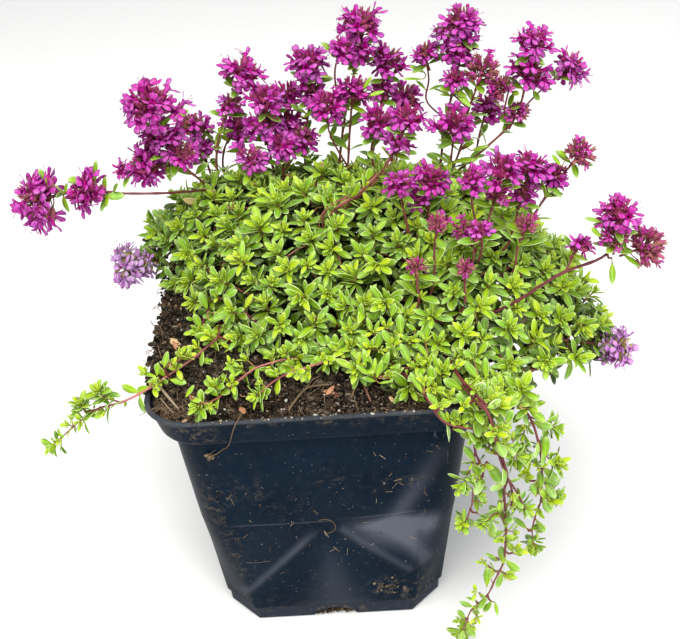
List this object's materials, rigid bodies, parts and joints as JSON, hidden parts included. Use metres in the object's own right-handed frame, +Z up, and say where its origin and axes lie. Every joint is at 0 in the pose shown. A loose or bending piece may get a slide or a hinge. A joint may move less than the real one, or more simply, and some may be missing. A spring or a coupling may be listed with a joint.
{
  "type": "potted thyme",
  "caption": "Low cushion of creeping thyme with magenta flower heads on thin stems and trailing shoots, growing in a tapered square plastic nursery pot.",
  "frame": {"origin": "centre of the pot's flat underside", "axes": "+Z up; the pot's front wall, with the drain notch and the trailing stems, faces -Y; +X to the right seen from the front"},
  "size_m": [0.166, 0.111, 0.1645],
  "materials": {
    "pot_plastic": "black injection moulded polypropylene, semi-gloss, dusty",
    "compost": "dark granular peat compost",
    "leafy_shoot": "glossy lime green leaves on red-brown stems",
    "creeping_stem": "pale green leaves on pink-red stems",
    "flowering_stem": "magenta flowers, dark red-purple calyces, purplish stems"
  },
  "bodies": {
    "root": {"pot": "pot_plastic", "soil": "compost", "flower_stem_15": "flowering_stem", "flower_stem_right": "flowering_stem", "flower_stem_far_left": "flowering_stem", "flower_stem_left": "flowering_stem", "flower_stem_08": "flowering_stem", "flower_stem_13": "flowering_stem", "flower_stem_18": "flowering_stem", "flower_stem_left_back": "flowering_stem", "flower_stem_low_left": "flowering_stem", "flower_stem_01": "flowering_stem", "flower_stem_03": "flowering_stem", "flower_stem_04": "flowering_stem", "flower_stem_05": "flowering_stem", "flower_stem_07": "flowering_stem", "flower_stem_09": "flowering_stem", "flower_stem_10": "flowering_stem", "flower_stem_leaning": "flowering_stem", "flower_stem_14": "flowering_stem", "flower_stem_19": "flowering_stem", "flower_stem_20": "flowering_stem", "flower_stem_low_right": "flowering_stem", "flower_stem_27": "flowering_stem", "flower_stem_02": "flowering_stem", "flower_stem_06": "flowering_stem", "flower_stem_11": "flowering_stem", "flower_stem_12": "flowering_stem", "flower_stem_16": "flowering_stem", "flower_stem_17": "flowering_stem", "flower_stem_21": "flowering_stem", "flower_stem_22": "flowering_stem", "flower_stem_23": "flowering_stem", "flower_stem_24": "flowering_stem", "flower_stem_25": "flowering_stem", "flower_stem_26": "flowering_stem", "trailing_stem_rim": "creeping_stem", "trailing_stem_long": "creeping_stem", "trailing_stem_middle": "creeping_stem", "trailing_stem_outer": "creeping_stem", "runner_left_long": "creeping_stem", "runner_left_short": "creeping_stem", "runner_front": "creeping_stem", "leafy_branch_01": "leafy_shoot", "leafy_branch_02": "leafy_shoot", "leafy_branch_03": "leafy_shoot", "leafy_branch_04": "leafy_shoot", "leafy_branch_05": "leafy_shoot", "leafy_branch_06": "leafy_shoot", "leafy_branch_07": "leafy_shoot", "leafy_branch_08": "leafy_shoot", "leafy_branch_09": "leafy_shoot", "leafy_branch_10": "leafy_shoot", "leafy_branch_11": "leafy_shoot", "leafy_branch_12": "leafy_shoot", "leafy_branch_13": "leafy_shoot", "leafy_branch_14": "leafy_shoot", "leafy_branch_15": "leafy_shoot"}
  },
  "joints": []
}
